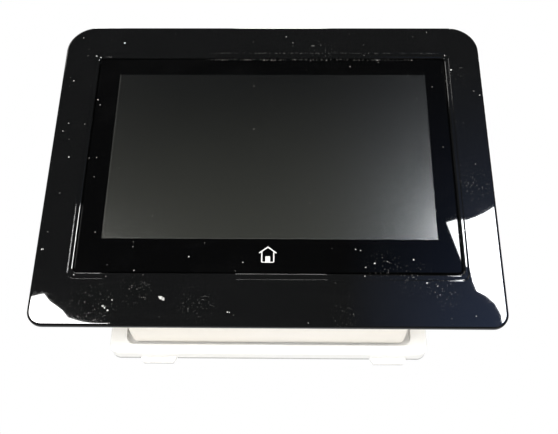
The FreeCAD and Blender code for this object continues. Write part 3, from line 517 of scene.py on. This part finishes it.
# ---------------------------------------------------------------- the panel's front
def front_bezel(material):
    """The glossy frame as one closed skin: edge fillet, flat face, groove, well and lens seat."""
    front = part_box("front_bezel")[0].y
    outer, lens = rect_of("front_bezel"), rect_of("cover_lens")
    bottom_r, top_r = FRAME_RADII
    groove = grown(lens, *GROOVE_BEYOND_LENS)
    well = grown(lens, WELL_GAP)
    rings = []

    def add(rect, depth, low_r, high_r):
        rings.append(rounded_ring(rect, front + depth * MM, low_r, high_r))

    def outline(inset, depth):
        add(grown(outer, -inset), depth, bottom_r - inset, top_r - inset)

    def inner(inset, depth):
        add(grown(groove, -inset), depth, GROOVE_RADIUS - inset, GROOVE_RADIUS - inset)

    def beyond_well(out, depth):
        add(grown(well, out), depth, LENS_RADIUS + out, LENS_RADIUS + out)

    outline(1.2, FRAME_THICKNESS)
    for across, down in reversed(quarter(4)):
        outline(across * BACK_EDGE_RADIUS, FRAME_THICKNESS - down * BACK_EDGE_RADIUS)
    for across, down in quarter():
        outline(across * FRAME_EDGE_RADIUS, down * FRAME_EDGE_RADIUS)
    outline(FRAME_EDGE_RADIUS + 0.5, 0)
    inner(-0.5, 0)
    for across, down in reversed(quarter(4)):
        inner(-across * GROOVE_LIP, down * GROOVE_LIP)
    for across, down in quarter(3):
        inner(across * GROOVE_FOOT, GROOVE_DEPTH - down * GROOVE_FOOT)
    inner(0.5, GROOVE_DEPTH)
    beyond_well(WELL_EDGE_RADIUS + 0.3, GROOVE_DEPTH)
    for across, down in reversed(quarter()):
        beyond_well(across * WELL_EDGE_RADIUS, GROOVE_DEPTH + down * WELL_EDGE_RADIUS)
    beyond_well(0, GROOVE_DEPTH + WELL_EDGE_RADIUS + 0.1)
    beyond_well(0, LENS_SEAT)
    opening = grown(lens, -SEAT_LEDGE)
    add(opening, LENS_SEAT, 1.5, 1.5)
    add(opening, RIM_BACK, 1.5, 1.5)
    beyond_well(3.3, RIM_BACK)
    beyond_well(3.5, FRAME_THICKNESS)
    bm = bmesh.new()
    loft(bm, rings, closed=True)
    obj = finished(bm, "front_frame", smooth_angle=36)
    weighted(obj)
    paint(obj, material)
    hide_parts("front_bezel")
    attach(obj, "panel")


def screen_rect():
    """The window in the lens's printed border, a little smaller than the display glass."""
    x0, x1, z0, z1 = rect_of("display_glass")
    left, right, bottom, top = [margin * MM for margin in SCREEN_MARGINS]
    return (x0 + left, x1 - right, z0 + bottom, z1 - top)


def cover_lens(border, window):
    """The polished lens. Its printed border and the window over the screen are two face regions."""
    low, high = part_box("cover_lens")
    rect = rect_of("cover_lens")
    active = screen_rect()
    bm = bmesh.new()
    rings = [rounded_ring(grown(rect, -0.1), high.y, LENS_RADIUS - 0.1, LENS_RADIUS - 0.1)]
    rings.append(rounded_ring(rect, high.y - 0.1 * MM, LENS_RADIUS, LENS_RADIUS))
    for inset, depth in LENS_EDGE:
        corner = LENS_RADIUS - inset
        rings.append(rounded_ring(grown(rect, -inset), low.y + depth * MM, corner, corner))
    rings.append(rounded_ring(active, low.y, 0.15, 0.15))
    rows = loft(bm, rings, cap_first=True)
    bm.faces.new(rows[-1]).material_index = 1
    obj = finished(bm, "lens_glass", smooth_angle=30)
    weighted(obj)
    paint(obj, border, window)
    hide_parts("cover_lens")
    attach(obj, "panel")


# ---------------------------------------------------------------- springs
def latch_spring(side, material):
    """Coil spring above one release latch, built at the length of its CAD node; nothing here shortens it
    as the latch is pressed.
    """
    node, joint = "latch_spring_" + side, "latch_" + side + "_press"
    low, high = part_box(node)
    centre = Vector(((low.x + high.x) / 2, (low.y + high.y) / 2, low.z))
    wire = 0.2 * MM
    length = high.z - low.z
    radius = (high.x - low.x) / 2 - wire
    obj = coil("latch_coil_" + side, centre, Vector((0, 0, 1)), radius, wire, length, 10)
    paint(obj, material)
    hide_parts(node)
    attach(obj, "wall_plate")
    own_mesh(obj)


def tamper_spring(material):
    low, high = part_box("tamper_spring")
    centre = Vector(((low.x + high.x) / 2, low.y, (low.z + high.z) / 2))
    wire = 0.22 * MM
    radius = (high.x - low.x) / 2 - wire
    obj = coil("tamper_coil", centre, Vector((0, 1, 0)), radius, wire, high.y - low.y, 4)
    paint(obj, material)
    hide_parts("tamper_spring")
    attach(obj, "panel")


# ---------------------------------------------------------------- stage, lights and camera
FLOOR_HALF = 3.0
FLOOR_Z = -0.36


def stage_floor():
    bm = bmesh.new()
    bmesh.ops.create_grid(bm, x_segments=1, y_segments=1, size=FLOOR_HALF)
    bmesh.ops.translate(bm, verts=bm.verts, vec=(0, 0, FLOOR_Z))
    floor = finished(bm, "floor")
    s = Shade("floor_pale", 0.85)
    s.set("Base Color", s.mix(s.noise(3, 2), (0.80, 0.80, 0.79, 1), (0.83, 0.83, 0.82, 1)))
    paint(floor, s.material)
    floor.visible_glossy = False


def faded(tree, glow, strength):
    """Makes a card's glow grow towards its right foot, and lets what lies behind it show through."""
    place = tree.nodes.new("ShaderNodeTexCoord")
    parts = tree.nodes.new("ShaderNodeSeparateXYZ")
    tree.links.new(place.outputs["Object"], parts.inputs[0])
    across = tree.nodes.new("ShaderNodeMapRange")
    up = tree.nodes.new("ShaderNodeMapRange")
    for ramp, axis, start, end, low in ((across, 0, 0.1, 0.42, 0.0), (up, 2, 0.86, 0.25, 0.08)):
        ramp.inputs["From Min"].default_value = start
        ramp.inputs["From Max"].default_value = end
        ramp.inputs["To Min"].default_value = low
        tree.links.new(parts.outputs[axis], ramp.inputs["Value"])
    across.inputs["To Max"].default_value = strength
    steep = tree.nodes.new("ShaderNodeMath")
    steep.operation = "POWER"
    steep.inputs[1].default_value = 2
    tree.links.new(up.outputs[0], steep.inputs[0])
    both = tree.nodes.new("ShaderNodeMath")
    both.operation = "MULTIPLY"
    tree.links.new(across.outputs[0], both.inputs[0])
    tree.links.new(steep.outputs[0], both.inputs[1])
    tree.links.new(both.outputs[0], glow.inputs["Strength"])
    behind = tree.nodes.new("ShaderNodeBsdfTransparent")
    added = tree.nodes.new("ShaderNodeAddShader")
    tree.links.new(behind.outputs[0], added.inputs[0])
    tree.links.new(glow.outputs[0], added.inputs[1])
    return added


def reflection_card(name, outline, strength, colour, fades=False):
    """A bright shape near the panel that shows only as a reflection in its gloss."""
    bm = bmesh.new()
    bm.faces.new([bm.verts.new(corner) for corner in outline])
    card = finished(bm, name)
    material = bpy.data.materials.new(name)
    material.use_nodes = True
    tree = material.node_tree
    tree.nodes.remove(tree.nodes["Principled BSDF"])
    glow = tree.nodes.new("ShaderNodeEmission")
    glow.inputs["Color"].default_value = (*colour, 1)
    glow.inputs["Strength"].default_value = strength
    if fades:
        glow = faded(tree, glow, strength)
    tree.links.new(glow.outputs[0], tree.nodes["Material Output"].inputs[0])
    paint(card, material)
    card.visible_camera = False
    card.visible_diffuse = False
    card.visible_shadow = False
    card.visible_transmission = False


def area_light(name, place, target, size, power, colour=(1, 1, 1), shines=True):
    light = bpy.data.lights.new(name, "AREA")
    light.size = size
    light.energy = power
    light.color = colour
    obj = bpy.data.objects.new(name, light)
    bpy.context.scene.collection.objects.link(obj)
    obj.location = place
    obj.rotation_euler = (Vector(target) - Vector(place)).to_track_quat("-Z", "Y").to_euler()
    obj.visible_camera = False
    obj.visible_glossy = shines


# What the gloss mirrors, in metres: (x, z) corners in the plane y = CARD_Y, or (x, y) on the ceiling.
CARD_Y = -1.0
LEFT_CARD = [
    (-0.424, 0.337), (-0.401, 0.343), (-0.390, 0.330), (-0.368, 0.315), (-0.356, 0.301),
    (-0.332, 0.294), (-0.289, 0.289), (-0.288, 0.272), (-0.439, 0.271), (-0.443, 0.332),
]
RIGHT_CARD = [
    (0.274, 0.479), (0.292, 0.485), (0.309, 0.483), (0.325, 0.489), (0.341, 0.497), (0.356, 0.507),
    (0.362, 0.510), (0.362, 0.284), (0.350, 0.293), (0.349, 0.312), (0.341, 0.331),
    (0.328, 0.344), (0.314, 0.352), (0.309, 0.368), (0.306, 0.393), (0.295, 0.401),
]
SIDE_CARD = [(0.60, 0.43), (1.10, 0.57), (1.10, 0.78), (0.60, 0.59)]
FLAG = [(0.16, -0.20, -0.1), (0.16, -0.02, -0.1), (0.16, -0.02, 0.3), (0.16, -0.20, 0.3)]
CEILING_Z = 1.3
CEILING_CARDS = [  # corners (x, y) and strength; far enough back that the flat front misses them
    ([(-0.441, -0.15), (-0.379, -0.15), (-0.328, 0.5), (-0.372, 0.5)], 38),
    ([(-0.105, -0.15), (0.080, -0.15), (0.062, 0.5), (-0.096, 0.5)], 24),
    ([(0.341, -0.15), (0.392, -0.15), (0.392, 0.0), (0.341, 0.0)], 40),
]
BLUE_CARD = (-0.1, 0.9, 0.1, 1.3)  # x0, x1, z0, z1
BLUE_CARD_Y = CARD_Y - 0.02


def lights():
    area_light("key", (-1.3, -1.1, 1.9), (0, 0, 0), 1.1, 24, (1.0, 0.985, 0.96))
    area_light("fill_right", (1.9, -0.7, 0.7), (0, 0, 0), 1.0, 12, (0.93, 0.96, 1.0))
    area_light("rear", (0.7, 1.9, 1.2), (0, 0, 0), 1.2, 12)
    area_light("front", (0.1, -1.9, -0.25), (0, 0, -0.06), 0.9, 27, (1.0, 0.995, 0.985), shines=False)
    area_light("under", (-0.4, -0.75, -0.26), (0, 0, -0.07), 0.18, 1.3, shines=False)
    reflection_card("card_left", [(x, CARD_Y, z) for x, z in LEFT_CARD], 60, (1.0, 0.995, 0.98))
    reflection_card("card_right", [(x, CARD_Y, z) for x, z in RIGHT_CARD], 60, (0.95, 0.98, 1.0))
    reflection_card("card_side", [(x, CARD_Y, z) for x, z in SIDE_CARD], 75, (1.0, 1.0, 0.99))
    reflection_card("flag", FLAG, 0, (0, 0, 0))
    for i, (corners, strength) in enumerate(CEILING_CARDS):
        outline = [(x, y, CEILING_Z) for x, y in corners]
        reflection_card("card_ceiling_%d" % (i + 1), outline, strength, (1.0, 1.0, 0.98))
    x0, x1, z0, z1 = BLUE_CARD
    outline = [(x, BLUE_CARD_Y, z) for x, z in ((x0, z0), (x1, z0), (x1, z1), (x0, z1))]
    reflection_card("card_blue", outline, 1.35, (0.31, 0.48, 1.0), fades=True)


ROOM_IN_FRONT = (0.034, 0.037, 0.042, 1)
ROOM_BEHIND = (0.55, 0.56, 0.57, 1)


def surroundings():
    """White to the camera, bright for soft light, and dark in front where the gloss would mirror it."""
    world = bpy.data.worlds.new("surroundings")
    bpy.context.scene.world = world
    world.use_nodes = True
    tree = world.node_tree
    tree.nodes.clear()
    out = tree.nodes.new("ShaderNodeOutputWorld")
    path = tree.nodes.new("ShaderNodeLightPath")
    place = tree.nodes.new("ShaderNodeTexCoord")
    parts = tree.nodes.new("ShaderNodeSeparateXYZ")
    ramp = tree.nodes.new("ShaderNodeMapRange")
    ramp.inputs["From Min"].default_value = -0.15
    ramp.inputs["From Max"].default_value = 0.25
    room = tree.nodes.new("ShaderNodeMix")
    room.data_type = "RGBA"
    room.inputs[6].default_value = ROOM_IN_FRONT
    room.inputs[7].default_value = ROOM_BEHIND
    seen = tree.nodes.new("ShaderNodeBackground")
    soft = tree.nodes.new("ShaderNodeBackground")
    mirrored = tree.nodes.new("ShaderNodeBackground")
    seen.inputs["Color"].default_value = (1, 1, 1, 1)
    soft.inputs["Color"].default_value = (1, 1, 1, 1)
    soft.inputs["Strength"].default_value = 0.8
    lit = tree.nodes.new("ShaderNodeMixShader")
    mixed = tree.nodes.new("ShaderNodeMixShader")
    tree.links.new(place.outputs["Generated"], parts.inputs[0])
    tree.links.new(parts.outputs["Y"], ramp.inputs["Value"])
    tree.links.new(ramp.outputs[0], room.inputs[0])
    tree.links.new(room.outputs[2], mirrored.inputs["Color"])
    tree.links.new(path.outputs["Is Glossy Ray"], lit.inputs[0])
    tree.links.new(soft.outputs[0], lit.inputs[1])
    tree.links.new(mirrored.outputs[0], lit.inputs[2])
    tree.links.new(path.outputs["Is Camera Ray"], mixed.inputs[0])
    tree.links.new(lit.outputs[0], mixed.inputs[1])
    tree.links.new(seen.outputs[0], mixed.inputs[2])
    tree.links.new(mixed.outputs[0], out.inputs[0])


CAMERA_LENS = 55.07  # millimetres, on a 36 mm wide sensor
CAMERA_PLACE = (0.01144, -0.38585, -0.18117)
CAMERA_TURN = (117.006, -0.657, 0.751)  # degrees


def camera():
    data = bpy.data.cameras.new("camera")
    data.sensor_width = 36
    data.lens = CAMERA_LENS
    data.clip_start = 0.01
    obj = bpy.data.objects.new("camera", data)
    bpy.context.scene.collection.objects.link(obj)
    obj.location = CAMERA_PLACE
    obj.rotation_euler = [math.radians(a) for a in CAMERA_TURN]
    bpy.context.scene.camera = obj


# ---------------------------------------------------------------- the whole model
BLACK = gloss_black("frame_gloss", (0.0040, 0.0041, 0.0041), 0.012, 0.05, smears=0.5)
LENS_BORDER = gloss_black("lens_gloss", (0.0011, 0.0011, 0.0011), 0.012, 0.03, specular=0.27)
LENS_WINDOW = display_window("screen_off", screen_rect())
ICON = moulded("icon_ink", (0.74, 0.74, 0.735), 0.55, 0.1, 0.05)
HOUSING = moulded("housing_plastic", (0.893, 0.853, 0.80), 0.44, 0.18)
# painted shade: the plate's rim nearest the wall and its side walls are greyed as if shaded
PLATE_SHADED_EDGES = (rect_of("wall_plate"), PLATE_RADIUS * MM, 0.0014)
PLATE = moulded("plate_plastic", (0.90, 0.897, 0.888), 0.46, 0.2, edges=PLATE_SHADED_EDGES)
# painted shade on the latch tabs' lower edge nearest the wall, as on the plate's rim
TAB_FOOT_SHADE = (-1.0, 1.0, rect_of("release_latch_left")[2], 1.0)
LATCH = moulded("latch_plastic", (0.87, 0.862, 0.845), 0.4, 0.2, edges=(TAB_FOOT_SHADE, 0.0006, 0.0013))
PLUNGER = moulded("plunger_plastic", (0.8, 0.8, 0.77), 0.35, 0.2)
CREAM = moulded("connector_plastic", (0.72, 0.68, 0.56), 0.4, 0.2)
TERMINAL = moulded("terminal_plastic", (0.025, 0.2, 0.09), 0.4, 0.3)
DARK = moulded("dark_plastic", (0.022, 0.022, 0.023), 0.45, 0.2)
SLEEVE = moulded("battery_sleeve", (0.04, 0.11, 0.3), 0.3, 0.2)
AMBER = moulded("ribbon_film", (0.42, 0.2, 0.04), 0.3, 0.2)
FILM = moulded("sensor_film", (0.12, 0.13, 0.13), 0.2, 0.1)
STEEL = metal("plated_steel", (0.56, 0.56, 0.55), 0.32)
SPRING = metal("spring_wire", (0.6, 0.6, 0.6), 0.25)
SHEET = metal("zinc_sheet", (0.62, 0.62, 0.6), 0.4, (1, 1, 0.08))
COPPER = metal("copper_foil", (0.72, 0.42, 0.28), 0.35)
BOARD = board_mask("board_green")
FOAM = rubber("foam_grey", (0.06, 0.06, 0.06), 0.9)
BUMPER = rubber("bumper_rubber", (0.28, 0.28, 0.27))
WIRE = rubber("wire_insulation", (0.02, 0.02, 0.02), 0.5)

SOFTENED = {  # node: (edge radius in mm, material, slot, body)
    "rear_housing": (0.3, HOUSING, "housing_white", "panel"),
    "wall_plate": (0.22, PLATE, "plate_white", "wall_plate"),
    "release_latch_left": (0.3, LATCH, "latch_white", "latch_left"),
    "release_latch_right": (0.3, LATCH, "latch_white", "latch_right"),
    "housing_screws": (0.12, STEEL, "screw_steel", "panel"),
    "terminal_block": (0.15, TERMINAL, "terminal_green", "panel"),
    "terminal_screws": (0.08, STEEL, "screw_steel", "panel"),
    "bumper_pads": (0.3, BUMPER, "bumper_grey", "wall_plate"),
    "pivot_pins": (0.2, STEEL, "pin_steel", "panel"),
    "tamper_plunger": (0.12, PLUNGER, "plunger_white", "tamper"),
}
KEPT = {
    "home_icon": ICON, "lens_tape": FOAM, "touch_sensor": FILM, "display_glass": DARK,
    "backlight_tray": SHEET, "screen_bracket": SHEET, "bracket_screws": STEEL, "main_board": BOARD,
    "board_screws": STEEL, "processor_shield": SHEET, "board_chips": DARK, "radio_module": SHEET,
    "radio_antenna": COPPER, "ribbon_connector": CREAM, "display_ribbon": AMBER,
    "piezo_sounder": DARK, "tamper_switch": DARK, "backup_battery": SLEEVE, "battery_pad": FOAM,
    "battery_plug": CREAM, "battery_lead": WIRE, "speaker_gasket": FOAM, "speaker_driver": DARK,
    "speaker_box": DARK,
}

front_bezel(BLACK)
cover_lens(LENS_BORDER, LENS_WINDOW)
for node, (width, material, slot, body) in SOFTENED.items():
    piece = softened(node, width)
    paint(piece, material)
    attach(piece, body)
for node, material in KEPT.items():
    paint(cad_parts[node], material)
for side in ("left", "right"):
    latch_spring(side, SPRING)
tamper_spring(SPRING)

stage_floor()
lights()
surroundings()
camera()
bpy.context.scene.view_settings.view_transform = "Standard"
